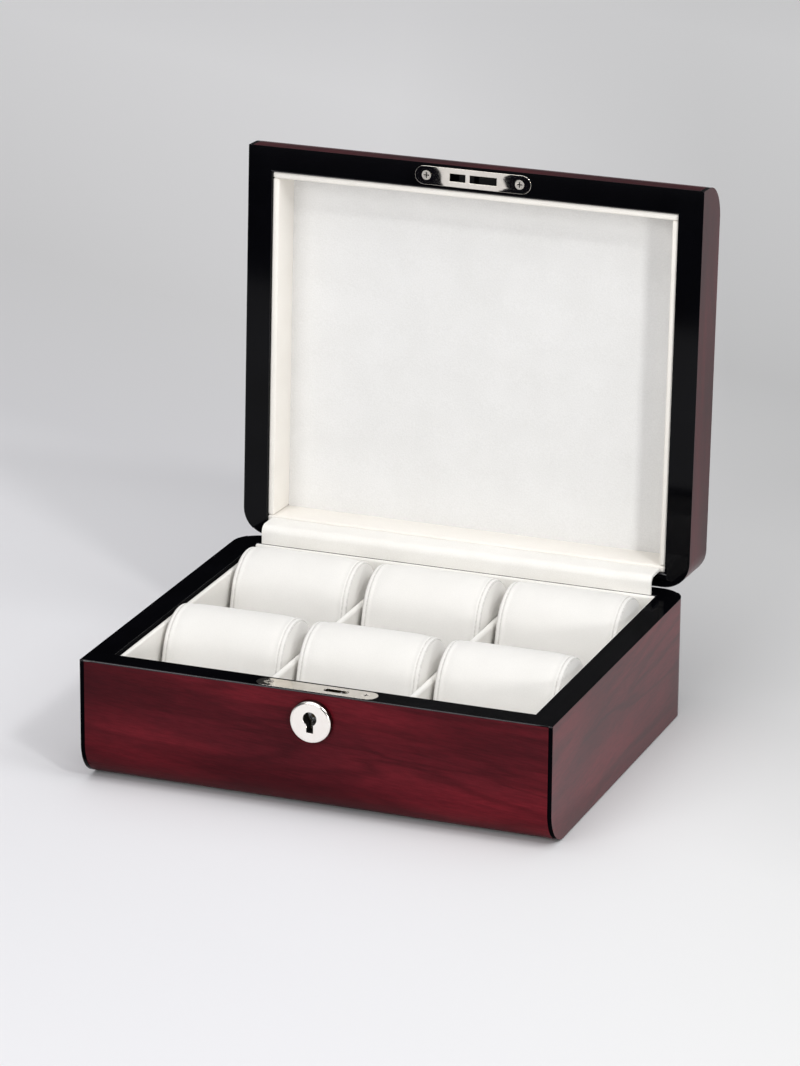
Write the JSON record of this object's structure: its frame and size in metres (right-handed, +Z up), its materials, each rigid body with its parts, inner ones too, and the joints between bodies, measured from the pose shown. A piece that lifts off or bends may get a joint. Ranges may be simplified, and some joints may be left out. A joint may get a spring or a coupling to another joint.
{
  "type": "watch box",
  "caption": "Lockable veneered box with a hinged padded lid, a claw lock and a divided, lined tray that holds a removable watch cushion in each place.",
  "frame": {"origin": "middle of the box's underside, on the table", "axes": "+Z up, -Y towards the front with the lock, +X to the right as seen from the front"},
  "size_m": [0.21, 0.2122, 0.2326],
  "materials": {
    "lacquered_veneer": "clear high-gloss lacquer over dark red veneer, black lacquered rims",
    "bottom_board": "plain dark board",
    "felt": "short felt",
    "lining_cloth": "short-pile cream cloth over card",
    "lid_cloth": "fine off-white woven cloth over padding",
    "cushion_cloth": "soft cream velvet with piped seams",
    "bright_plating": "bright nickel plate",
    "lock_brass": "plain sheet",
    "lock_steel": "bright cut steel",
    "hinge_brass": "polished"
  },
  "bodies": {
    "box": {"base_front_panel": "lacquered_veneer", "base_back_panel": "lacquered_veneer", "base_left_panel": "lacquered_veneer", "base_right_panel": "lacquered_veneer", "bottom_board": "bottom_board", "underside_felt": "felt", "front_lining": "lining_cloth", "back_lining": "lining_cloth", "left_lining": "lining_cloth", "right_lining": "lining_cloth", "floor_lining": "lining_cloth", "long_divider": "lining_cloth", "left_cross_divider": "lining_cloth", "right_cross_divider": "lining_cloth", "left_hinge_base_leaf": "hinge_brass", "left_hinge_pin": "hinge_brass", "right_hinge_base_leaf": "hinge_brass", "right_hinge_pin": "hinge_brass", "base_leaf_screws": "hinge_brass", "hinge_cover": "lining_cloth", "lock_plate": "bright_plating", "lock_case": "lock_brass", "lock_case_cover": "lock_brass", "lock_spring": "lock_steel", "lock_plate_screws": "bright_plating", "escutcheon": "bright_plating"},
    "lid": {"lid_front_panel": "lacquered_veneer", "lid_back_panel": "lacquered_veneer", "lid_left_panel": "lacquered_veneer", "lid_right_panel": "lacquered_veneer", "lid_top_board": "lacquered_veneer", "lid_front_lining": "lid_cloth", "lid_back_lining": "lid_cloth", "lid_left_lining": "lid_cloth", "lid_right_lining": "lid_cloth", "lid_padded_panel": "lid_cloth", "left_hinge_lid_leaf": "hinge_brass", "right_hinge_lid_leaf": "hinge_brass", "lid_leaf_screws": "hinge_brass", "keeper_plate": "bright_plating", "keeper_screws": "bright_plating"},
    "claw": {"lock_claw": "lock_steel"},
    "front_left_roll": {"front_left_cushion": "cushion_cloth"},
    "front_middle_roll": {"front_middle_cushion": "cushion_cloth"},
    "front_right_roll": {"front_right_cushion": "cushion_cloth"},
    "back_left_roll": {"back_left_cushion": "cushion_cloth"},
    "back_middle_roll": {"back_middle_cushion": "cushion_cloth"},
    "back_right_roll": {"back_right_cushion": "cushion_cloth"}
  },
  "joints": [
    {"name": "lid_hinge", "type": "hinge", "parent": "box", "child": "lid", "pos_m": [0, 0.089, 0.0548], "axis": [-1, 0, 0], "range_deg": [-92.4, 0], "deforming": ["hinge_cover"]},
    {"name": "claw_turn", "type": "hinge", "parent": "box", "child": "claw", "pos_m": [0, -0.0836, 0.0441], "axis": [0, -1, 0], "range_deg": [0, 60]},
    {"name": "front_left_lift", "type": "slide", "parent": "box", "child": "front_left_roll", "axis": [0, 0, 1], "range_m": [0, 0.06]},
    {"name": "front_middle_lift", "type": "slide", "parent": "box", "child": "front_middle_roll", "axis": [0, 0, 1], "range_m": [0, 0.06]},
    {"name": "front_right_lift", "type": "slide", "parent": "box", "child": "front_right_roll", "axis": [0, 0, 1], "range_m": [0, 0.06]},
    {"name": "back_left_lift", "type": "slide", "parent": "box", "child": "back_left_roll", "axis": [0, 0, 1], "range_m": [0, 0.06]},
    {"name": "back_middle_lift", "type": "slide", "parent": "box", "child": "back_middle_roll", "axis": [0, 0, 1], "range_m": [0, 0.06]},
    {"name": "back_right_lift", "type": "slide", "parent": "box", "child": "back_right_roll", "axis": [0, 0, 1], "range_m": [0, 0.06]}
  ]
}
